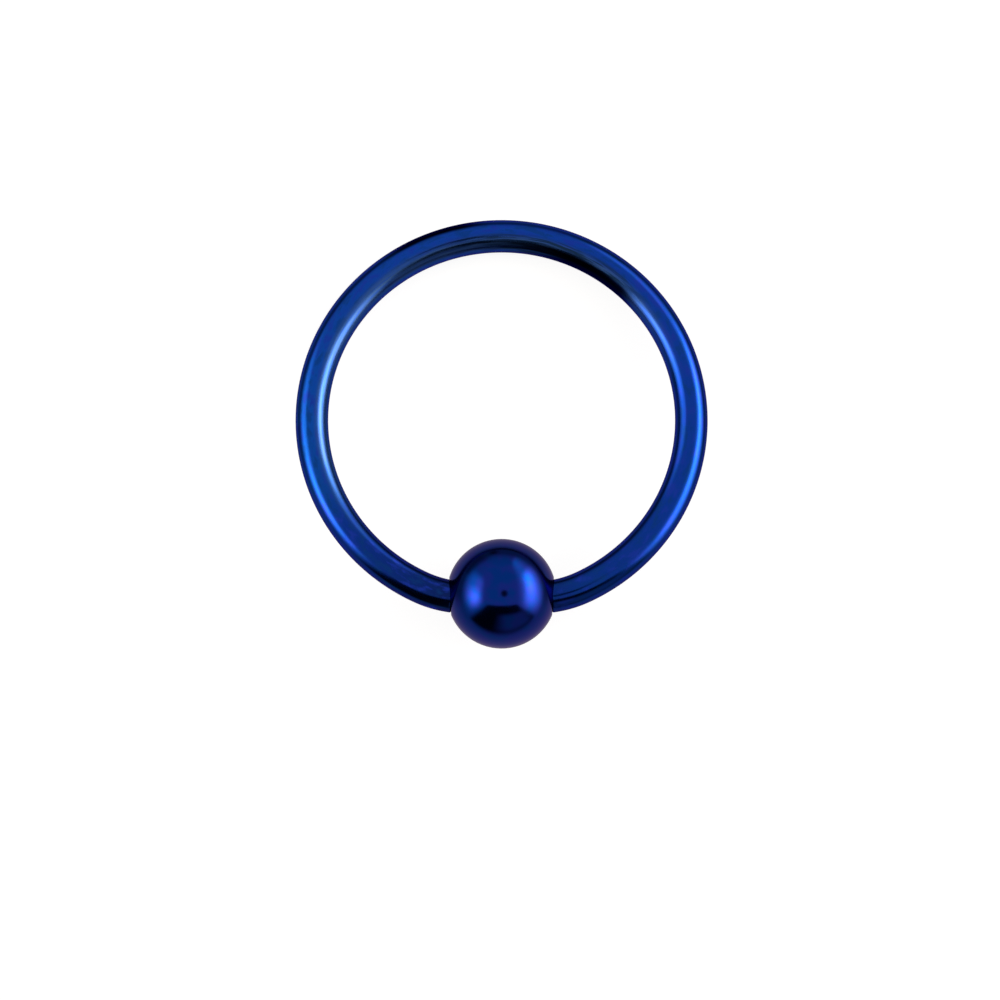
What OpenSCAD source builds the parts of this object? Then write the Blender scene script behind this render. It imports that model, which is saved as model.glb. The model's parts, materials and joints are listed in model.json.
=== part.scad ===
// Captive bead ring: a sprung hoop of round wire whose two ends sit in the dimples of a round bead.
// It lies on its side as it would on a table: the bead and the far side of the hoop touch the
// surface at z = 0, so the plane of the hoop leans by a few degrees. The dimples are drilled a
// little off the bead's middle, so the bead sits a little inside the line of the wire. Millimetres,
// +Z up, and the origin is on the surface, under the middle of the part.

/* [Hoop] */
// Thickness of the round wire, which is 16 gauge
wire_d = 1.2; // [0.8:0.1:1.6]
// Clear width inside the hoop, from wire to wire
inner_d = 12.7; // [9:0.1:19]
// Stretch of each end, beside the bead, where the sprung wire keeps its tighter bend
end_reach = 0.95; // [0.7:0.05:1.5]
// Slope of the wire at its cut ends, in degrees from the line through the dimples
end_slope = 6.5; // [3:0.5:8]
// Bevel round the edge of each cut end
end_bevel = 0.12; // [0.05:0.01:0.2]
// How much polishing has worn off the radius of the wire in its end bends
end_wear = 0.005; // [0.002:0.001:0.01]

/* [Bead] */
// Diameter of the bead
bead_d = 4; // [3:0.5:6]
// How far inside the bead's round each cut end of the wire sits
seat_depth = 0.31; // [0.26:0.01:0.45]
// Angle across the drilled point at the bottom of each dimple, in degrees
dimple_point = 118; // [90:1:135]
// How far the dimples are drilled off the bead's middle, on the side away from the hoop's middle
dimple_offset = 0.09; // [0:0.01:0.15]

/* [Fit] */
// Least clearance between the wire and the wall of its dimple
side_gap = 0.01; // [0.01:0.01:0.05]
// Clearance along the dimple, between the edge of each cut end and the drilled point
end_gap = 0.03; // [0.02:0.01:0.08]

/* [Hidden] */
$fn = 96;
anodised_blue = [0.04, 0.12, 0.62];
bead_blue = [0.05, 0.08, 0.50];

wire_r = wire_d / 2;
bead_r = bead_d / 2;
hoop_r = (inner_d + wire_d) / 2; // to the middle of the wire

// Each end of the hoop is a tighter arc. It leaves the round of the hoop at bend_turn and comes
// down to end_slope at wire_end_x, both turns counted from the hoop's lowest point.
wire_end_x = bead_r - seat_depth;
bend_turn = asin((bead_r + end_reach) / hoop_r);
end_r = (hoop_r * sin(bend_turn) - wire_end_x) / (sin(bend_turn) - sin(end_slope));
end_centre = (hoop_r - end_r) * [sin(bend_turn), -cos(bend_turn)];
end_wire_r = wire_r - end_wear;
end_join = 0.1; // how far each end arc runs on inside the hoop, so that they are one metal
join_turn = end_join / end_r * 180 / PI;

// The wire still slopes inside its dimple, so its middle rises by seat_rise on the way out. The
// dimple is drilled on the middle of that rise, and is wide enough for all of it.
mouth_slope = asin(sin(end_slope) + seat_depth / end_r);
seat_rise = end_r * (cos(end_slope) - cos(mouth_slope));
dimple_r = wire_r / cos(mouth_slope) + seat_rise / 2 + side_gap;
dimple_y = end_centre[1] - end_r * cos(end_slope) + seat_rise / 2;
bead_y = dimple_y + dimple_offset;

// Where the straight wall of a dimple ends, from the bead's middle. Below it is the slope that the
// point of the drill leaves, which is end_gap from the edge of the cut end.
end_edge_r = wire_r - end_bevel;
point_depth = dimple_r / tan(dimple_point / 2);
dimple_floor = wire_end_x - end_edge_r * sin(end_slope) - end_gap
    + point_depth * (1 - end_edge_r / dimple_r);

// The pose at rest, and the shift that brings the middle of the part over the origin.
lean = asin((bead_r - wire_r) / (hoop_r - bead_y));
hoop_z = hoop_r * sin(lean) + wire_r;
hoop_y = -((hoop_r + bead_y) * cos(lean) + wire_r - bead_r) / 2;

// Moves what is drawn flat, with the hoop's middle at the origin, to where it lies at rest.
module at_rest() {
    translate([0, hoop_y, hoop_z])
        rotate([-lean, 0, 0])
            children();
}

// An arc of wire about the Z axis, between two angles.
module wire_arc(arc_r, section_r, from, to) {
    rotate([0, 0, from])
        rotate_extrude(angle = to - from)
            translate([arc_r, 0])
                circle(r = section_r);
}

// What the bevel takes off a cut end that faces down, with the middle of the end at the origin.
module bevel() {
    rotate_extrude()
        polygon([
            [end_wire_r - 2 * end_bevel, -end_bevel],
            [end_wire_r + end_bevel, -end_bevel],
            [end_wire_r + end_bevel, 2 * end_bevel]
        ]);
}

// The tighter arc at the right-hand end, with its bevelled tip towards the bead.
module wire_end() {
    translate([end_centre[0], end_centre[1], 0])
        difference() {
            wire_arc(end_r, end_wire_r, end_slope - 90, bend_turn - 90 + join_turn);
            rotate([0, 0, end_slope])
                translate([0, -end_r, 0])
                    rotate([0, 90, 0])
                        bevel();
        }
}

module hoop() {
    color(anodised_blue)
        at_rest() {
            wire_arc(hoop_r, wire_r, bend_turn - 90, 270 - bend_turn);
            wire_end();
            mirror([1, 0, 0])
                wire_end();
        }
}

// A half section turned about the X axis, as on a lathe. Its Y axis becomes the X axis.
module turned() {
    rotate([0, 90, 0])
        rotate_extrude()
            children();
}

module ball() {
    turned()
        difference() {
            circle(d = bead_d);
            translate([-bead_d, -bead_r])
                square(bead_d);
        }
}

// What the drill takes out of the right-hand side of the bead, whose middle is at the origin.
module dimple() {
    translate([0, -dimple_offset, 0])
        turned()
            polygon([
                [0, dimple_floor - point_depth],
                [dimple_r, dimple_floor],
                [dimple_r, bead_d],
                [0, bead_d]
            ]);
}

module bead() {
    color(bead_blue)
        at_rest()
            translate([0, bead_y, 0])
                difference() {
                    ball();
                    dimple();
                    mirror([1, 0, 0])
                        dimple();
                }
}

hoop();
bead();
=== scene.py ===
# %% [markdown]
# # A captive bead ring of blue anodised titanium
# The real thing is two pieces of polished metal. A hoop of round wire is sprung open a little, and
# its two ends press into the dimples of a small round bead, which they hold captive. Both pieces
# are anodised: an electric bath grows a clear skin of oxide on the titanium, and its thickness,
# which is never quite even, makes the blue.
#
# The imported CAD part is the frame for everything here. It says where the two pieces lie and how
# large they are. This script gives each a fine skin that mirrors well, a finish, a floor to lie
# on and a studio to mirror.

# %% The frame
import json

import bpy
import numpy as np
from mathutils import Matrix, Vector


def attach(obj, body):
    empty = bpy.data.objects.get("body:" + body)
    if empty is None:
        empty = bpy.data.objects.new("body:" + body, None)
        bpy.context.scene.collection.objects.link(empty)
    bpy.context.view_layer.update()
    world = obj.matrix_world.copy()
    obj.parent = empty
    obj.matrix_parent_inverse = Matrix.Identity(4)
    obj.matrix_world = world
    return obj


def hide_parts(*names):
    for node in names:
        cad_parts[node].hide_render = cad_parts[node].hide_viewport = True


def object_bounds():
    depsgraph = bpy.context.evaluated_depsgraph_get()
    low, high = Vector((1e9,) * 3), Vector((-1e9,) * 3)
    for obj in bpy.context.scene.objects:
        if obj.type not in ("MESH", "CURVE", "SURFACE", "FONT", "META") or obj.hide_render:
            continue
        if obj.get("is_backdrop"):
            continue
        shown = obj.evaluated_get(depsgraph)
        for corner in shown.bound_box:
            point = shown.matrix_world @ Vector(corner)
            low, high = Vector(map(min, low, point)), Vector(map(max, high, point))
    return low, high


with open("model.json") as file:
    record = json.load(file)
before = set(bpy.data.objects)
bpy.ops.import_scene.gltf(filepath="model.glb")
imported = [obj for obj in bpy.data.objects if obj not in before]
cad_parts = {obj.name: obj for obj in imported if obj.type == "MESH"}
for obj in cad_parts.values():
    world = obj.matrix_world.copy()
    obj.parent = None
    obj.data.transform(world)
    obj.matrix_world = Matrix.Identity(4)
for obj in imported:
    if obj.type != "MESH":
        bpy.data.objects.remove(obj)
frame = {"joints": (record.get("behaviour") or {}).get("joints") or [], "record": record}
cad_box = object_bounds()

MM = 0.001
joint = frame["joints"][0]
mount = frame["record"]["mounts"][0]
dimple_axis = np.array(joint["pos_m"])
far_wire = np.array(mount["pos_m"])
wire_r = mount["dims"]["r_mm"] * MM
print("the bead turns about", dimple_axis, "and the far side of the wire is at", far_wire)

# %% [markdown]
# ## How the ring lies
# It lies on its side and touches the floor in two places, under the bead and under the far side
# of the hoop. The bead is thicker than the wire, so the plane of the hoop leans. Instead of
# turning finished objects, the script keeps three unit directions, and every point is worked out
# along them. The objects then stay unturned at the origin, as the CAD ones do.
#
# The dimples are drilled a little off the bead's middle, so the bead sits a little inside the line
# of the wire. It rests on the floor, so the height of its middle is its radius.

# %% The directions of the hoop
across = np.array([1.0, 0.0, 0.0])
from_bead = far_wire - dimple_axis
from_bead /= np.linalg.norm(from_bead)
facing = np.cross(across, from_bead)

CLEAR_WIDTH = 12.7 * MM
DIMPLE_OFFSET = 0.09 * MM
hoop_r = CLEAR_WIDTH / 2 + wire_r
hoop_centre = far_wire - hoop_r * from_bead
bead_centre = dimple_axis + DIMPLE_OFFSET * from_bead
bead_r = bead_centre[2]
dimple_y = (dimple_axis - hoop_centre) @ from_bead


def lay_down(points):
    """Points drawn flat, as x, y and height off the hoop's plane, moved to where the ring lies."""
    return hoop_centre + points @ np.stack([across, from_bead, facing])


lean = np.degrees(np.arcsin(-from_bead[2]))
print(f"wire {2 * wire_r / MM:.2f} mm, bead {2 * bead_r / MM:.2f} mm")
print(f"the hoop leans by {lean:.2f} degrees, and its middle is {hoop_centre[2] / MM:.3f} mm up")

# %% [markdown]
# ## The camera
# The ring is seen almost from above, with the bead nearest. A long lens far away keeps the
# outlines free of perspective, as a close-up lens does in a product picture. The camera's height
# above the horizon is chosen so that the round hoop shows a little less tall than wide.

# %% Camera
PICTURE_PX = 1000
PX_PER_METRE = 27.3 / MM
HOOP_MIDDLE_PX = (501.6, 419.6)
CAMERA_HEIGHT = np.radians(82.72)
CAMERA_DISTANCE = 0.30
SENSOR_MM = 36

to_camera = np.array([0, -np.cos(CAMERA_HEIGHT), np.sin(CAMERA_HEIGHT)])
picture_up = np.array([0, np.sin(CAMERA_HEIGHT), np.cos(CAMERA_HEIGHT)])
right_px = HOOP_MIDDLE_PX[0] - PICTURE_PX / 2
above_px = PICTURE_PX / 2 - HOOP_MIDDLE_PX[1]
aim = hoop_centre - (right_px * across + above_px * picture_up) / PX_PER_METRE

lens = bpy.data.cameras.new("long_lens")
lens.sensor_width = SENSOR_MM
lens.lens = PX_PER_METRE * CAMERA_DISTANCE * SENSOR_MM / PICTURE_PX
lens.clip_start = CAMERA_DISTANCE / 10
lens.clip_end = 100
camera = bpy.data.objects.new("camera", lens)
camera.location = aim + CAMERA_DISTANCE * to_camera
camera.rotation_euler = Vector(-to_camera).to_track_quat("-Z", "Y").to_euler()
bpy.context.scene.collection.objects.link(camera)
bpy.context.scene.camera = camera
print(f"lens {lens.lens:.0f} mm at {CAMERA_DISTANCE} m")

# %% [markdown]
# ## Skins from rings of points
# Both pieces are round about a line, the wire about its bent middle and the bead about the axis of
# its dimples, so one helper can make both. A primitive torus and sphere would be quicker, but they
# have no cut ends or dimples, and their faces are coarse. Here each shape is a stack of rings
# worked out with whole arrays, and its two ends close in a fan of triangles round a single point.

# %% Helper: a closed skin


def closed_skin(name, rings, first_point, last_point):
    """A mesh over an array of rings, whose size is rings by points by 3.

    Four-sided faces join each ring to the next one. The first and last rings are closed by
    triangles that meet at first_point and last_point.
    """
    count, around = rings.shape[:2]
    points = np.vstack([rings.reshape(-1, 3), first_point, last_point])
    here = np.arange(around)
    after = (here + 1) % around
    row = np.arange(count - 1)[:, None] * around
    sides = np.stack([row + here, row + after, row + around + after, row + around + here], axis=-1)
    last_row = (count - 1) * around
    first_fan = np.stack([np.full(around, count * around), after, here], axis=-1)
    last_fan = np.stack([
        np.full(around, count * around + 1),
        last_row + here,
        last_row + after,
    ], axis=-1)
    faces = [*sides.reshape(-1, 4).tolist(), *first_fan.tolist(), *last_fan.tolist()]
    mesh = bpy.data.meshes.new(name)
    mesh.from_pydata(points.tolist(), [], faces)
    mesh.polygons.foreach_set("use_smooth", np.ones(len(faces), dtype=bool))
    mesh.update()
    return mesh


# %% Helper: which way the faces point


def signed_volume(mesh):
    """The sum, over the mesh's triangles, of the volume that each spans with the origin.

    It is above zero only where the faces point outwards.
    """
    mesh.calc_loop_triangles()
    corners = np.empty(len(mesh.loop_triangles) * 3, dtype=np.int32)
    mesh.loop_triangles.foreach_get("vertices", corners)
    points = np.empty(len(mesh.vertices) * 3)
    mesh.vertices.foreach_get("co", points)
    a, b, c = points.reshape(-1, 3)[corners.reshape(-1, 3)].transpose(1, 0, 2)
    return np.einsum("ij,ij->", a, np.cross(b, c)) / 6


# %% Helper: a piece of the scene


def show_piece(mesh, body, node, material):
    """Puts a mesh in the scene as a piece that stands for a CAD node and rides on its body.

    A piece that is inside out stops the script.
    """
    mesh.materials.append(material)
    piece = bpy.data.objects.new(mesh.name, mesh)
    bpy.context.scene.collection.objects.link(piece)
    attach(piece, body)
    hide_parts(node)
    volume = signed_volume(mesh) / MM ** 3
    if volume <= 0:
        raise ValueError(f"{mesh.name} is inside out")
    print(f"{mesh.name}: {len(mesh.loop_triangles)} triangles, {volume:.2f} cubic mm")


# %% [markdown]
# ## The line of the wire
# The wire is wound to one radius, and its ends keep a slightly tighter bend, so that they point
# into the dimples. The middle line of the wire is therefore three arcs that run into each other
# without a kink. A Bezier curve could only come near that. Instead, one number says how far along
# the line a point is, and every arc answers with its own middle and radius.

# %% Sizes of the hoop
END_REACH = 0.95 * MM
END_SLOPE = np.radians(6.5)
END_BEVEL = 0.12 * MM
END_WEAR = 0.005 * MM
SEAT_DEPTH = 0.31 * MM

wire_end_x = bead_r - SEAT_DEPTH
bend_turn = np.arcsin((bead_r + END_REACH) / hoop_r)
end_r = (hoop_r * np.sin(bend_turn) - wire_end_x) / (np.sin(bend_turn) - np.sin(END_SLOPE))
end_centre = (hoop_r - end_r) * np.array([np.sin(bend_turn), -np.cos(bend_turn)])
end_length = end_r * (bend_turn - END_SLOPE)
wire_length = 2 * end_length + hoop_r * (2 * np.pi - 2 * bend_turn)
print(f"the ends bend to {end_r / MM:.2f} mm, and the rest to {hoop_r / MM:.2f} mm")
print(f"the wire is {wire_length / MM:.1f} mm long")

# %% The middle line


def wire_line(travel):
    """Middle of the wire and its outward direction, at a length along it from its right-hand end.

    Each arc turns by length over radius. Its points are its own middle plus its radius times
    (cosine, sine) of the turn, and that same pair is the outward direction.
    """
    at_first = travel < end_length
    at_last = travel > wire_length - end_length
    first_turn = END_SLOPE + travel / end_r
    hoop_turn = bend_turn + (travel - end_length) / hoop_r
    last_turn = 2 * np.pi - END_SLOPE - (wire_length - travel) / end_r
    turn = np.select([at_first, at_last], [first_turn, last_turn], hoop_turn) - np.pi / 2
    outward = np.stack([np.cos(turn), np.sin(turn), np.zeros_like(turn)], axis=-1)
    radius = np.where(at_first | at_last, end_r, hoop_r)
    side = np.select([at_first, at_last], [1.0, -1.0], 0.0)
    middle = np.zeros_like(outward)
    middle[:, 0] = side * end_centre[0]
    middle[:, 1] = np.abs(side) * end_centre[1]
    return middle + radius[:, None] * outward, outward


halfway, _ = wire_line(np.array([wire_length / 2]))
print("halfway along the wire its middle is at", np.round(lay_down(halfway)[0] / MM, 3), "mm")

# %% [markdown]
# ## The skin of the hoop
# A round section is carried along that line. At each cut end the section shrinks down a bevel to
# a flat face, as a file leaves it. The mesh also keeps, for each point, where it lay on the wire
# while that was still straight: the length along it, and the place in the round section. The
# marks of the drawing die run along the wire, so their pattern needs those values and not the
# place in the world.

# %% Carrying the section along
WIRE_RINGS = 680
WIRE_SIDES = 112
BEVEL_RINGS = 4
CORNER_STEP = 0.006 * MM
FACE_SHARES = np.array([0.25, 0.5, 0.75])


def wire_section():
    """Length along the wire and radius of the section, for each ring.

    The flat face is at the very end, where only the radius grows. Over the bevel the radius grows
    as fast as the length. From there on it is wire_r less END_WEAR times w squared times
    (3 less 2 times w), where w falls from 1 at the cut end to 0 where the end bend runs out.
    Small steps beside each corner keep the shading of the faces apart.
    """
    end_wire_r = wire_r - END_WEAR
    run_start = END_BEVEL + CORNER_STEP
    face_r = FACE_SHARES * (end_wire_r - END_BEVEL)
    face_r = np.append(face_r, end_wire_r - END_BEVEL - CORNER_STEP)
    bevel_in = np.linspace(CORNER_STEP, END_BEVEL - CORNER_STEP, BEVEL_RINGS)
    length = np.concatenate([np.zeros_like(face_r), bevel_in, [run_start]])
    radius = np.concatenate([face_r, end_wire_r - END_BEVEL + bevel_in, [end_wire_r]])
    run = np.linspace(run_start, wire_length - run_start, WIRE_RINGS)[1:-1]
    from_end = np.minimum(run, wire_length - run)
    w = 1 - np.clip(from_end / end_length, 0, 1)
    run_r = wire_r - END_WEAR * w * w * (3 - 2 * w)
    along = np.concatenate([length, run, wire_length - length[::-1]])
    return along, np.concatenate([radius, run_r, radius[::-1]])


def hoop_mesh():
    """The section's circle round each point of the line, in the plane that the line runs through.

    A point is the line's middle plus the radius times (cosine of the turn times outward, plus
    sine of the turn times the direction that the hoop faces). The turn runs backwards, because
    only then do the faces between one ring and the next point out of the metal.
    """
    along, radius = wire_section()
    middle, outward = wire_line(along)
    turn = np.linspace(2 * np.pi, 0, WIRE_SIDES, endpoint=False)
    up = np.array([0.0, 0.0, 1.0])
    around = np.cos(turn)[:, None] * outward[:, None, :] + np.sin(turn)[:, None] * up
    rings = middle[:, None, :] + radius[:, None, None] * around
    mesh = closed_skin("polished_hoop", lay_down(rings), *lay_down(middle[[0, -1]]))
    straight = np.stack([
        np.broadcast_to(along[:, None], rings.shape[:2]),
        radius[:, None] * np.cos(turn),
        radius[:, None] * np.sin(turn),
    ], axis=-1)
    straight = np.vstack([straight.reshape(-1, 3), [[0, 0, 0], [wire_length, 0, 0]]])
    kept = mesh.attributes.new("straight_wire", "FLOAT_VECTOR", "POINT")
    kept.data.foreach_set("vector", straight.astype(np.float32).ravel())
    return mesh


# %% [markdown]
# ## The dimples
# Each dimple is drilled to fit the end of the wire. The wire still slopes where it goes in, so the
# hole has to be wider than the wire by the height that the wire climbs inside it. The drill leaves
# a point at the bottom, and the edge of the cut end stops just short of that slope.

# %% Sizes of the dimples
DIMPLE_POINT = np.radians(118)
SIDE_GAP = 0.01 * MM
END_GAP = 0.03 * MM

mouth_slope = np.arcsin(np.sin(END_SLOPE) + SEAT_DEPTH / end_r)
seat_rise = end_r * (np.cos(END_SLOPE) - np.cos(mouth_slope))
dimple_r = wire_r / np.cos(mouth_slope) + seat_rise / 2 + SIDE_GAP
point_depth = dimple_r / np.tan(DIMPLE_POINT / 2)
end_edge_r = wire_r - END_BEVEL
dimple_floor = (wire_end_x - end_edge_r * np.sin(END_SLOPE) - END_GAP
                + point_depth * (1 - end_edge_r / dimple_r))
point_x = dimple_floor - point_depth
print(f"each dimple is {2 * dimple_r / MM:.2f} mm wide")
print(f"its point is {point_x / MM:.2f} mm from the plane through the middle of the bead")

# %% [markdown]
# ## The skin of the bead
# A real bead is a turned ball with two dimples drilled into it, whose rims the polishing wheel has
# rounded. Cutting a sphere with a Boolean would leave long thin faces that spoil the mirror.
# Instead the ball is cut into half slices that all start from the axis of the dimples. Seen in one
# slice, the ball is still a circle, but because the axis is off its middle, the circle's middle
# is above or below the axis and its radius is a little less than the ball's. So the outline is a
# function of two numbers, how far it has run and how far the slice is turned.

# %% The outline of a slice
RIM_ROUND = 0.04 * MM
CONE_STEPS = 12
WALL_STEPS = 3
RIM_STEPS = 9
BALL_STEPS = 90
BEAD_SIDES = 200


def bead_outline(turn):
    """Distance along the axis and out from it, for each point of the outline in each slice.

    With e for DIMPLE_OFFSET, the slice's circle has its middle e times the sine of the turn out
    from the axis, and the square of its radius is bead_r squared less (e times the cosine of the
    turn) squared. The cone and the wall of the dimple are straight. The rim is a small round
    that touches the wall and the inside of that circle. The rest is the circle, up to the bead's
    waist.
    """
    circle_y = DIMPLE_OFFSET * np.sin(turn)
    circle_r = np.sqrt(bead_r ** 2 - (DIMPLE_OFFSET * np.cos(turn)) ** 2)
    rim_y = dimple_r + RIM_ROUND
    rim_x = np.sqrt((circle_r - RIM_ROUND) ** 2 - (rim_y - circle_y) ** 2)
    ball_start = np.arctan2(rim_y - circle_y, rim_x)

    cone_share = np.linspace(0, 1, CONE_STEPS + 1)[1:, None] + 0 * turn
    cone = np.stack([point_x + point_depth * cone_share, dimple_r * cone_share])
    wall_share = np.linspace(0, 1, WALL_STEPS + 1)[1:, None]
    wall_x = dimple_floor + (rim_x - dimple_floor) * wall_share
    wall = np.stack([wall_x, np.full_like(wall_x, dimple_r)])
    rim_share = np.linspace(0, 1, RIM_STEPS + 1)[1:, None]
    rim_turn = -np.pi / 2 + (ball_start + np.pi / 2) * rim_share
    rim = np.stack([rim_x + RIM_ROUND * np.cos(rim_turn), rim_y + RIM_ROUND * np.sin(rim_turn)])
    ball_share = np.linspace(0, 1, BALL_STEPS + 1)[1:, None]
    ball_turn = ball_start + (np.pi / 2 - ball_start) * ball_share
    ball = np.stack([circle_r * np.cos(ball_turn), circle_y + circle_r * np.sin(ball_turn)])
    return np.concatenate([cone, wall, rim, ball], axis=1)


# %% Turning the slices


def bead_mesh():
    """The outlines of all slices and their mirror images, each set at its own turn.

    A point is the axis of the dimples, plus its distance along the axis, plus its distance out
    from the axis times (sine, cosine) of the slice's turn.
    """
    turn = np.linspace(0, 2 * np.pi, BEAD_SIDES, endpoint=False)
    half = bead_outline(turn)
    other_half = half[:, -2::-1] * np.array([-1, 1])[:, None, None]
    along, out = np.concatenate([half, other_half], axis=1)
    rings = np.stack([along, out * np.sin(turn), out * np.cos(turn)], axis=-1)
    flat_axis = np.array([0, dimple_y, 0])
    ends = np.array([[point_x, 0, 0], [-point_x, 0, 0]])
    return closed_skin("polished_bead", lay_down(rings + flat_axis), *lay_down(ends + flat_axis))


# %% [markdown]
# ## Building materials from nodes
# A finish is a small tree of nodes. Made one by one, each node costs several lines, so a helper
# adds a node, sets what it is told and plugs in what it is given. The same helper serves the
# metals, the floor and the light.

# %% Helper: one node


def add_node(tree, kind, inputs=None, **settings):
    """Adds a node to a tree. inputs maps a socket's name or number to a value or to an output."""
    node = tree.nodes.new(kind)
    for name, value in settings.items():
        setattr(node, name, value)
    for key, value in (inputs or {}).items():
        if isinstance(value, bpy.types.NodeSocket):
            tree.links.new(value, node.inputs[key])
        else:
            node.inputs[key].default_value = value
    return node


def new_tree(owner):
    """The empty node tree of a new material or world."""
    owner.use_nodes = True
    owner.node_tree.nodes.clear()
    return owner.node_tree


# %% Helpers: arithmetic and soft edges


def maths(tree, operation, first, second=0.0, third=0.0):
    """The output of one step of arithmetic."""
    inputs = {0: first, 1: second, 2: third}
    return add_node(tree, "ShaderNodeMath", inputs, operation=operation).outputs[0]


def soft_step(tree, value, start, end):
    """Runs smoothly from 0 to 1 while the value goes from start to end."""
    inputs = {"Value": value, "From Min": start, "From Max": end}
    return add_node(tree, "ShaderNodeMapRange", inputs, interpolation_type="SMOOTHSTEP").outputs[0]


def stretch_of(tree, value, start, full, last_full, end):
    """Rises from 0 to 1 between start and full, and falls again between last_full and end."""
    rise = soft_step(tree, value, start, full)
    return maths(tree, "MULTIPLY", rise, soft_step(tree, value, end, last_full))


# %% Helpers: patterns and colours


def noise(tree, place, size, detail=2.0, roughness=0.5):
    """Soft random values near 0.5, whose patches are about as wide as size."""
    inputs = {"Vector": place, "Scale": 1 / size, "Detail": detail, "Roughness": roughness}
    return add_node(tree, "ShaderNodeTexNoise", inputs).outputs["Fac"]


def scaled(tree, place, scale):
    """Places stretched or squeezed along each axis."""
    return add_node(tree, "ShaderNodeMapping", {"Vector": place, "Scale": scale}).outputs["Vector"]


def blended(tree, share, first, second):
    """The colour that lies share of the way from the first colour to the second."""
    inputs = {"Factor": share, 6: first, 7: second}
    return add_node(tree, "ShaderNodeMix", inputs, data_type="RGBA").outputs[2]


def ramp(tree, share, stops):
    """The colour between stops, which are pairs of a place from 0 to 1 and a colour."""
    node = add_node(tree, "ShaderNodeValToRGB", {0: share})
    elements = node.color_ramp.elements
    for element, (place, colour) in zip(elements, (stops[0], stops[-1])):
        element.position = place
        element.color = colour
    for place, colour in stops[1:-1]:
        elements.new(place).color = colour
    return node.outputs["Color"]


# %% [markdown]
# ## The anodised metal
# Polished metal has no colour of its own that light could pick up by scattering. All of its look
# is what it mirrors, tinted. So the surface is fully metallic, its base colour is that tint, and
# the pattern is in how the tint drifts, how sharp the mirror is and how flat it lies.
#
# The clear oxide also has an outer face of its own, which mirrors a few parts in a hundred of the
# light without any tint. A thin coat on the hoop stands for it. It is what makes the highlights
# paler than the blue.

# %% [markdown]
# ### The colours of the hoop
# The oxide did not grow evenly along the wire: it is royal blue on the right-hand side, brighter at
# the far side and nearly teal on the left. Beside the bead the ramp turns navy at both ends: that
# darkening is painted shade, where the wire goes into the bead. A ramp over the length of the wire
# holds that drift and that shade, and soft random blotches lean the blue to violet or to teal.

# %% Colours of the hoop
# The stops at both ends are darker: painted shade where the wire goes into the bead.
HOOP_DRIFT_AND_END_SHADE = [
    (0.00, (0.001, 0.036, 0.30, 1)),
    (0.03, (0.001, 0.053, 0.43, 1)),
    (0.16, (0.001, 0.064, 0.55, 1)),
    (0.50, (0.005, 0.084, 0.64, 1)),
    (0.66, (0.003, 0.094, 0.64, 1)),
    (0.78, (0.001, 0.120, 0.70, 1)),
    (0.84, (0.001, 0.096, 0.56, 1)),
    (0.88, (0.001, 0.054, 0.48, 1)),
    (0.97, (0.001, 0.032, 0.28, 1)),
    (1.00, (0.001, 0.020, 0.17, 1)),
]
HOOP_VIOLET = (0.014, 0.060, 0.62, 1)
HOOP_TEAL = (0.001, 0.070, 0.34, 1)
HOOP_WORN = (0.056, 0.155, 0.46, 1)
# Painted shade: a darker, greyer blue.
HOOP_PAINTED_SHADE = (0.009, 0.044, 0.12, 1)
# Nearly black: painted dark reflection.
HOOP_DARK_REFLECTION = (0.001, 0.004, 0.03, 1)

# %% [markdown]
# ### Patches on the wire
# The wire rubs in the piercing on its inner side. There, from the right-hand side over the far side
# to the left, the blue is worn to a paler, greyer one. Over a part of that on the far side lies
# painted shade, a darker and greyer blue. Over both lie two patches of painted dark reflection,
# nearly black, one on the inner edge of the wire and one further on, on its outer edge.
#
# Such a patch is a stretch of the wire's length and a stretch of the way across it. The length is
# a share of the whole, counted from the right-hand end, so 0.5 is the far side. The way across
# goes from -1 on the innermost line of the wire to 1 on the outermost one. A stretch is four
# numbers: where it starts, where it is full, where it is last full and where it ends. Where they
# go past -1 or 1, the patch reaches the edge.

# %% Patches on the wire
RUBBED = {"length": (0.25, 0.40, 0.80, 0.92), "across": (-1.0, -0.8, -0.46, -0.02)}
# Painted shade on the inner side of the far half.
PAINTED_SHADE_PATCH = {"length": (0.335, 0.39, 0.47, 0.61), "across": (-1.2, -1.1, -0.3, 0.1)}
# Two patches of painted dark reflection, one on each edge of the wire.
OUTER_DARK_REFLECTION = {"length": (0.50, 0.54, 0.58, 0.62), "across": (0.35, 0.6, 1.1, 1.2)}
INNER_DARK_REFLECTION = {"length": (0.345, 0.375, 0.43, 0.50), "across": (-1.2, -1.1, -0.65, -0.5)}

for name, sizes in (("worn stretch", RUBBED), ("painted shade patch", PAINTED_SHADE_PATCH),
                    ("outer dark reflection", OUTER_DARK_REFLECTION), ("inner dark reflection", INNER_DARK_REFLECTION)):
    start, *_, end = np.array(sizes["length"]) * wire_length / MM
    print(f"the {name} runs from {start:.1f} to {end:.1f} mm along the wire")

# %% Helper: a patch


def patch(tree, place, length, across):
    """1 on a patch of the wire's skin, 0 off it, and soft in between.

    place holds two sockets, the share of the length and the way across. The patch is the product
    of its two stretches.
    """
    along = stretch_of(tree, place[0], *length)
    return maths(tree, "MULTIPLY", along, stretch_of(tree, place[1], *across))


# %% [markdown]
# ### Lines from the die
# The wire was pulled through a die before it was wound, which left faint lines along it. The noise
# is worked out on the straight wire, in places that are squeezed along it, so that every spot of
# the noise becomes a long thin line.

# %% Patterns on the wire
STREAK_LENGTH = 1.1 * MM
STREAK_WIDTH = 0.06 * MM
STREAK_EDGES = (0.38, 0.62)
DIE_LINE_WIDTH = 0.045 * MM
BLOTCH_SIZE = 0.3 * MM
BLOTCH_SQUEEZE = (0.4, 1, 1)


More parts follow.
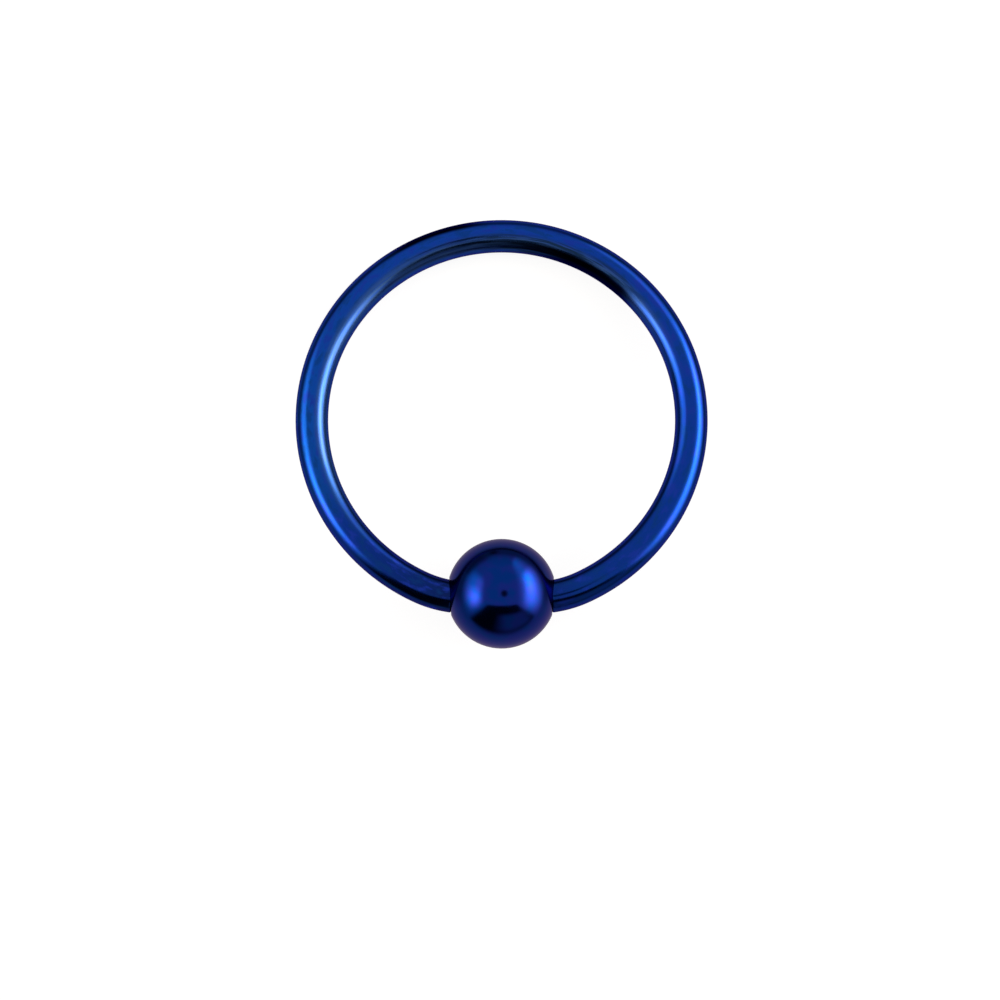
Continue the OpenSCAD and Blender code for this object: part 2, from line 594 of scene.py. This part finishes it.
def wire_patterns(tree, straight):
    """Streaks, die lines and blotches, as soft random values over the straight wire."""
    drawn = scaled(tree, straight, (STREAK_WIDTH / STREAK_LENGTH, 1, 1))
    streaks = soft_step(tree, noise(tree, drawn, STREAK_WIDTH), *STREAK_EDGES)
    die_lines = noise(tree, drawn, DIE_LINE_WIDTH, detail=3)
    blotch_place = scaled(tree, straight, BLOTCH_SQUEEZE)
    blotches = noise(tree, blotch_place, BLOTCH_SIZE, detail=4, roughness=0.6)
    return streaks, die_lines, blotches


# %% [markdown]
# ### One colour over the other
# The colours are laid on one over the other: first the drift and the blotches of the oxide, then
# what rubbing wore away, then the painted shade and the painted dark reflections. The streaks are
# worn most, and the painted shade keeps out of them.

# %% Layers of the hoop's colour
VIOLET_EDGES = (0.5, 0.65)
VIOLET_STRENGTH = 0.8
TEAL_EDGES = (0.5, 0.35)
TEAL_STRENGTH = 0.6
STREAK_WEAR = 0.5
SHADE_GONE_IN_STREAKS = 0.85


def hoop_layers(tree, place, streaks, blotches):
    """The hoop's colour, how far its blue is worn and how much painted dark reflection there is.

    Each layer covers what is under it by an amount from 0 to 1.
    """
    violet = maths(tree, "MULTIPLY", soft_step(tree, blotches, *VIOLET_EDGES), VIOLET_STRENGTH)
    teal = maths(tree, "MULTIPLY", soft_step(tree, blotches, *TEAL_EDGES), TEAL_STRENGTH)
    wear = maths(tree, "MULTIPLY_ADD", streaks, STREAK_WEAR, 1 - STREAK_WEAR)
    worn = maths(tree, "MULTIPLY", patch(tree, place, **RUBBED), wear)
    # Painted shade, kept out of the streaks.
    shade_cover = maths(tree, "MULTIPLY_ADD", streaks, -SHADE_GONE_IN_STREAKS, 1.0)
    painted_shade = maths(tree, "MULTIPLY", patch(tree, place, **PAINTED_SHADE_PATCH), shade_cover)
    # Painted dark reflections; the coat fades out under them too.
    outer_dark_reflection = patch(tree, place, **OUTER_DARK_REFLECTION)
    dark_reflection = maths(tree, "ADD", outer_dark_reflection, patch(tree, place, **INNER_DARK_REFLECTION))
    colour = ramp(tree, place[0], HOOP_DRIFT_AND_END_SHADE)
    for amount, layer in (
        (violet, HOOP_VIOLET),
        (teal, HOOP_TEAL),
        (worn, HOOP_WORN),
        (painted_shade, HOOP_PAINTED_SHADE),
        (dark_reflection, HOOP_DARK_REFLECTION),
    ):
        colour = blended(tree, amount, colour, layer)
    return colour, worn, dark_reflection


# %% [markdown]
# ### The hoop's finish
# The die lines are in the gloss and in the relief too, and the worn stretch mirrors a little less
# sharply. Where the dark reflection is painted, the coat fades out too, so that it mirrors no pale
# light there. At a slant the mirror of any metal gets paler. On the hoop it stays blue, and the
# shader's tint for slanting light sees to that.

# %% Hoop metal
HOOP_ROUGHNESS = 0.12
DIE_LINE_ROUGHNESS = 0.10
WORN_ROUGHNESS = 0.07
DIE_LINE_DEPTH = 0.004 * MM
COAT = 0.2


def hoop_metal():
    """Blue that drifts along the wire, worn and streaked on the inner side of its far half."""
    material = bpy.data.materials.new("anodised_hoop")
    tree = new_tree(material)
    kept = add_node(tree, "ShaderNodeAttribute", attribute_name="straight_wire")
    straight = kept.outputs["Vector"]
    length, outward, _ = add_node(tree, "ShaderNodeSeparateXYZ", {0: straight}).outputs
    place = (maths(tree, "DIVIDE", length, wire_length), maths(tree, "DIVIDE", outward, wire_r))
    streaks, die_lines, blotches = wire_patterns(tree, straight)
    colour, worn, dark_reflection = hoop_layers(tree, place, streaks, blotches)
    gloss = maths(tree, "MULTIPLY_ADD", die_lines, DIE_LINE_ROUGHNESS, HOOP_ROUGHNESS)
    relief = add_node(tree, "ShaderNodeBump", {
        "Height": die_lines,
        "Strength": 0.3,
        "Distance": DIE_LINE_DEPTH,
    })
    shader = add_node(tree, "ShaderNodeBsdfPrincipled", {
        "Base Color": colour,
        "Metallic": 1.0,
        "Roughness": maths(tree, "MULTIPLY_ADD", worn, WORN_ROUGHNESS, gloss),
        "Normal": relief.outputs[0],
        "Specular Tint": (0.3, 0.3, 0.7, 1),
        "Coat Weight": maths(tree, "MULTIPLY_ADD", dark_reflection, -COAT, COAT),
        "Coat Roughness": 0.1,
        "Coat IOR": 1.5,
    })
    add_node(tree, "ShaderNodeOutputMaterial", {"Surface": shader.outputs[0]})
    print("hoop metal:", len(tree.nodes), "nodes")
    return material


# %% [markdown]
# ### The bead's finish
# The bead was tumbled rather than drawn, so it has no lines along anything. Its blue is deeper than
# the hoop's, and it drifts in soft patches to indigo, a little more so on the lower right. Towards
# the outline, where the light passes the oxide at a slant, its mirror turns to a pale violet. Very
# faint marks from handling cross the bead in all directions.

# %% Bead metal
BEAD_ROYAL = (0.003, 0.048, 0.35, 1)
BEAD_INDIGO = (0.015, 0.037, 0.37, 1)
BEAD_DRIFT_SIZE = 0.45 * MM
BEAD_DRIFT_EDGES = (0.35, 0.65)
INDIGO_SIDE = np.array([0.8, -0.6, 0.0])
INDIGO_PULL = 0.1
MARK_SIZE = 0.25 * MM
MARK_DEPTH = 0.001 * MM
MARK_ROUGHNESS = 0.10
BEAD_ROUGHNESS = 0.08


def bead_drift(tree, place):
    """How far the bead's blue is on the way to indigo.

    It is soft random patches, plus INDIGO_PULL times how far the place lies towards INDIGO_SIDE
    from the bead's middle, counted in radii.
    """
    inputs = {0: place, 1: (INDIGO_SIDE / bead_r).tolist()}
    dot = add_node(tree, "ShaderNodeVectorMath", inputs, operation="DOT_PRODUCT")
    sideways = maths(tree, "SUBTRACT", dot.outputs["Value"], INDIGO_SIDE @ bead_centre / bead_r)
    patches = noise(tree, place, BEAD_DRIFT_SIZE, detail=3)
    drift = maths(tree, "MULTIPLY_ADD", sideways, INDIGO_PULL, patches)
    return soft_step(tree, drift, *BEAD_DRIFT_EDGES)


def bead_metal():
    """Deep blue that drifts to indigo, with faint marks in its gloss and relief."""
    material = bpy.data.materials.new("anodised_bead")
    tree = new_tree(material)
    place = add_node(tree, "ShaderNodeTexCoord").outputs["Object"]
    marks = noise(tree, place, MARK_SIZE, detail=4, roughness=0.6)
    relief = add_node(tree, "ShaderNodeBump", {
        "Height": marks,
        "Strength": 0.25,
        "Distance": MARK_DEPTH,
    })
    shader = add_node(tree, "ShaderNodeBsdfPrincipled", {
        "Base Color": blended(tree, bead_drift(tree, place), BEAD_ROYAL, BEAD_INDIGO),
        "Metallic": 1.0,
        "Roughness": maths(tree, "MULTIPLY_ADD", marks, MARK_ROUGHNESS, BEAD_ROUGHNESS),
        "Normal": relief.outputs[0],
        "Specular Tint": (1.0, 0.82, 1.0, 1),
    })
    add_node(tree, "ShaderNodeOutputMaterial", {"Surface": shader.outputs[0]})
    print("bead metal:", len(tree.nodes), "nodes")
    return material


# %% [markdown]
# ## The two pieces
# Each new skin stands for its CAD node and rides on that node's body, so the bead can turn in
# the ends of the hoop as the CAD bead does.

# %% Placing the pieces
show_piece(hoop_mesh(), "hoop", "hoop", hoop_metal())
show_piece(bead_mesh(), "bead", "bead", bead_metal())

# %% [markdown]
# ## The floor
# A plain white sheet on a light table. The table lights the sheet from below, so the ring throws
# only a faint shadow. The metal doesn't mirror it: a floor that is bright enough to look white to
# the camera would make the undersides of the metal too pale, so the lower half of the light tent
# stands for it there.

# %% Floor
FLOOR_HALF = 2.0
SHEET_GREY = 0.26
SHEET_GLOW = 0.885
GRAIN_SIZE = 0.4 * MM
GRAIN_DEPTH = 0.01 * MM


def glowing_sheet():
    """White paper with a very faint grain, lit from below."""
    material = bpy.data.materials.new("white_sheet")
    tree = new_tree(material)
    place = add_node(tree, "ShaderNodeTexCoord").outputs["Object"]
    relief = add_node(tree, "ShaderNodeBump", {
        "Height": noise(tree, place, GRAIN_SIZE),
        "Strength": 0.1,
        "Distance": GRAIN_DEPTH,
    })
    shader = add_node(tree, "ShaderNodeBsdfPrincipled", {
        "Base Color": (SHEET_GREY, SHEET_GREY, SHEET_GREY, 1),
        "Roughness": 0.9,
        "Normal": relief.outputs[0],
        "Emission Color": (1, 1, 1, 1),
        "Emission Strength": SHEET_GLOW,
    })
    add_node(tree, "ShaderNodeOutputMaterial", {"Surface": shader.outputs[0]})
    return material


corner_signs = np.array([[-1, -1, 0], [1, -1, 0], [1, 1, 0], [-1, 1, 0]])
floor_mesh = bpy.data.meshes.new("floor")
floor_mesh.from_pydata((corner_signs * FLOOR_HALF).tolist(), [], [(0, 1, 2, 3)])
floor_mesh.materials.append(glowing_sheet())
floor = bpy.data.objects.new("floor", floor_mesh)
floor.visible_glossy = False
bpy.context.scene.collection.objects.link(floor)
floor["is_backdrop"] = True
print(f"the floor is {2 * FLOOR_HALF:.0f} m wide")

# %% [markdown]
# ## The light tent
# Jewellery is pictured inside a tent of white cloth, because it mirrors everything. The picture
# of the ring tells what stood round it: a soft box at each side, a dark doorway towards the
# viewer, a shaded stretch of cloth behind, and a small dark spot where the lens looked in. Lamps
# could make the two soft boxes, but not the tent, so the whole studio is one world shader. It
# looks at the direction of a ray and answers how bright the tent is there.
#
# A flat panel seen from the ring is a rectangle once its directions are divided by the distance
# to the wall it hangs on, and soft steps fade its edges. So a panel's sizes are shares of that
# distance: its lowest and highest value in width and in height, and how soft each of the two is.

# %% Helper: a panel on a wall of the tent
LEAST_AHEAD = 0.001


def panel(tree, wall, width, height, soft):
    """1 inside a rectangle on a wall, 0 outside it, and soft in between.

    wall holds three sockets: the ray's direction along the wall's depth, width and height. The
    last two are divided by the first, which puts every ray on the same flat wall. A ray that goes
    less than LEAST_AHEAD towards the wall doesn't meet it.
    """
    ahead, *flat = wall
    depth = maths(tree, "MAXIMUM", ahead, LEAST_AHEAD)
    inside = maths(tree, "GREATER_THAN", ahead, LEAST_AHEAD)
    for value, (low, high), fade in zip(flat, (width, height), soft):
        value = maths(tree, "DIVIDE", value, depth)
        stretch = stretch_of(tree, value, low - fade, low + fade, high - fade, high + fade)
        inside = maths(tree, "MULTIPLY", inside, stretch)
    return inside


# %% [markdown]
# ### The cloth and its doorway
# The cloth is brightest overhead. Behind the ring it is dim near the table, and in front less so.
# A ramp over the angle from the camera's direction holds each of the two. In the doorway it is
# nearly black, with a dim room further in.

# %% Brightness of the cloth
GREY_ANGLES = 180


def greys(*pairs):
    """Stops for a ramp, from pairs of an angle in degrees and a brightness."""
    return [(angle / GREY_ANGLES, (grey, grey, grey, 1)) for angle, grey in pairs]


BACK_CLOTH = greys(
    (0, 1.0), (62, 1.0), (80, 0.85), (88, 0.6), (95, 0.3), (113, 0.25), (122, 0.7), (180, 0.7)
)
FRONT_CLOTH = greys(
    (0, 1.0), (60, 1.0), (84, 0.75), (98, 0.6), (108, 0.7), (125, 0.75), (180, 0.7)
)
FRONT_EDGES = (-0.1, 0.4)
DOORWAY = {"width": (-1.34, 1.5), "height": (-0.07, 2.2), "soft": (0.25, 0.15)}
DOORWAY_LIGHT = 0.015
ROOM = {"width": (-0.05, 1.15), "height": (0.05, 0.98), "soft": (0.28, 0.22)}
ROOM_LIGHT = 0.43

# %% The cloth


def cloth(tree, x, y, z):
    """How bright the cloth of the tent is, with its doorway.

    The angle for the ramps is the arc cosine of z. How far a direction points to the front is
    -y over the square root of x squared plus y squared.
    """
    front_y = maths(tree, "MULTIPLY", y, -1.0)
    angle = maths(tree, "DIVIDE", maths(tree, "ARCCOSINE", z), np.pi)
    flat = maths(tree, "SQRT", maths(tree, "MULTIPLY_ADD", x, x, maths(tree, "MULTIPLY", y, y)))
    in_front = soft_step(tree, maths(tree, "DIVIDE", front_y, flat), *FRONT_EDGES)
    light = blended(tree, in_front, ramp(tree, angle, BACK_CLOTH), ramp(tree, angle, FRONT_CLOTH))
    wall = (front_y, x, z)
    doorway = panel(tree, wall, **DOORWAY)
    dark = maths(tree, "MULTIPLY_ADD", panel(tree, wall, **ROOM), ROOM_LIGHT, DOORWAY_LIGHT)
    return add_node(tree, "ShaderNodeMix", {0: doorway, 2: light, 3: dark}).outputs[0]


# %% [markdown]
# ### The soft boxes
# The box on the right is the larger one. It has a hot core where its lamp is, and a wide glow round
# it. The one on the left is a bright patch in a glow of its own. Both lamps are a little warm
# beside the cloth. Light adds up, so the brightness of a side is the sum of its panels.

# %% Brightness of the soft boxes
RIGHT_BOX = {"width": (-0.4, 0.9), "height": (0.1, 0.75), "soft": (0.3, 0.35)}
RIGHT_CORE = {"width": (0.05, 0.75), "height": (0.35, 0.6), "soft": (0.28, 0.28)}
RIGHT_GLOW = {"width": (-0.5, 2.8), "height": (0.2, 1.0), "soft": (0.6, 0.6)}
LEFT_BOX = {"width": (-0.35, 0.15), "height": (0.35, 0.85), "soft": (0.3, 0.3)}
LEFT_GLOW = {"width": (-0.42, 0.75), "height": (0.2, 1.1), "soft": (0.3, 0.3)}
RIGHT_LIGHTS = [(RIGHT_BOX, 5.0), (RIGHT_CORE, 7.0), (RIGHT_GLOW, 1.8)]
LEFT_LIGHTS = [(LEFT_BOX, 6.0), (LEFT_GLOW, 2.0)]
BOX_COLOUR = (1.3, 1.12, 0.94, 1)


def soft_boxes(tree, x, y, z):
    """How bright the two soft boxes are.

    It is the sum, over all panels, of a panel's power where the ray meets it.
    """
    left_x = maths(tree, "MULTIPLY", x, -1.0)
    light = 0.0
    for wall, lights in (((x, y, z), RIGHT_LIGHTS), ((left_x, y, z), LEFT_LIGHTS)):
        for sizes, power in lights:
            light = maths(tree, "MULTIPLY_ADD", panel(tree, wall, **sizes), power, light)
    return light


# %% [markdown]
# ### What is dark in the tent
# The lens shows as a small round spot overhead. Behind the ring and to the left the cloth near the
# table lies in shade, and beside that is a small gap in it. Each takes away a share of the light
# that comes from its direction.

# %% Dark places
SHADE = {"width": (-1.7, -0.4), "height": (-0.35, 0.12), "soft": (0.2, 0.14)}
SHADE_DEPTH = 0.45
GAP = {"width": (-0.3, -0.1), "height": (-0.28, -0.1), "soft": (0.1, 0.1)}
GAP_DEPTH = 0.9
LENS_DIRECTION = (0.1, 0.02, 0.9948)
LENS_EDGES = np.cos(np.radians([9, 4]))
LENS_DEPTH = 0.95


def light_left(tree, direction, x, y, z):
    """What share of the light is left.

    It is the product, over the dark places, of 1 less a place's depth where the ray meets it.
    """
    back_wall = (y, x, z)
    inputs = {0: direction, 1: LENS_DIRECTION}
    facing_lens = add_node(tree, "ShaderNodeVectorMath", inputs, operation="DOT_PRODUCT")
    spot = soft_step(tree, facing_lens.outputs["Value"], *LENS_EDGES)
    light = 1.0
    for dark, depth in (
        (panel(tree, back_wall, **SHADE), SHADE_DEPTH),
        (panel(tree, back_wall, **GAP), GAP_DEPTH),
        (spot, LENS_DEPTH),
    ):
        light = maths(tree, "MULTIPLY", light, maths(tree, "MULTIPLY_ADD", dark, -depth, 1.0))
    return light


# %% [markdown]
# ### The world
# The tent stands square to the camera, so the direction of a ray is first turned by the angle that
# the camera is off the vertical. The camera itself sees plain white instead of the tent.
#
# Between two polished pieces a ray can bounce more than once, and the crease where the wire meets
# the bead would light up blue. A ray that comes from its second mirror therefore finds the tent
# dimmed: painted shade in the crease, which also darkens every other second mirror, such as the
# one across the hoop.

# %% The world
TENT_LEVEL = 0.42
# Painted shade: every second mirror sees the tent this much darker.
LOST_IN_CREASES = 0.82
WHITE_TO_THE_EYE = 1.02


def background(tree, colour, strength):
    """Light of one colour from all round, as strong as it is told in each direction."""
    inputs = {"Color": colour, "Strength": strength}
    return add_node(tree, "ShaderNodeBackground", inputs).outputs[0]


def light_tent():
    """The tent's brightness in each direction, for light and mirrors, and plain white to the eye."""
    world = bpy.data.worlds.new("light_tent")
    tree = new_tree(world)
    white = (1, 1, 1, 1)
    ray = add_node(tree, "ShaderNodeTexCoord").outputs["Generated"]
    inputs = {"Vector": ray, "Rotation": (CAMERA_HEIGHT - np.pi / 2, 0, 0)}
    direction = add_node(tree, "ShaderNodeMapping", inputs).outputs["Vector"]
    x, y, z = add_node(tree, "ShaderNodeSeparateXYZ", {0: direction}).outputs
    path = add_node(tree, "ShaderNodeLightPath").outputs
    second_mirror = maths(tree, "GREATER_THAN", path["Glossy Depth"], 1.5)
    level = maths(tree, "MULTIPLY_ADD", second_mirror, -LOST_IN_CREASES * TENT_LEVEL, TENT_LEVEL)
    level = maths(tree, "MULTIPLY", level, light_left(tree, direction, x, y, z))
    cloth_light = background(tree, white, maths(tree, "MULTIPLY", cloth(tree, x, y, z), level))
    box_strength = maths(tree, "MULTIPLY", soft_boxes(tree, x, y, z), level)
    box_light = background(tree, BOX_COLOUR, box_strength)
    studio = add_node(tree, "ShaderNodeAddShader", {0: cloth_light, 1: box_light}).outputs[0]
    plain = background(tree, white, WHITE_TO_THE_EYE)
    inputs = {0: path["Is Camera Ray"], 1: studio, 2: plain}
    shown = add_node(tree, "ShaderNodeMixShader", inputs).outputs[0]
    add_node(tree, "ShaderNodeOutputWorld", {"Surface": shown})
    print("light tent:", len(tree.nodes), "nodes")
    return world


bpy.context.scene.world = light_tent()
bpy.context.scene.view_settings.view_transform = "Standard"

# %% [markdown]
# ## The two boxes
# The finish may not change the size of the part, so the box of the CAD model and the box of the
# new pieces are printed side by side.

# %% Boxes
visual_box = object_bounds()
for name, box in (("CAD", cad_box), ("visual", visual_box)):
    print(name, "box in mm", [[round(value / MM, 4) for value in corner] for corner in box])
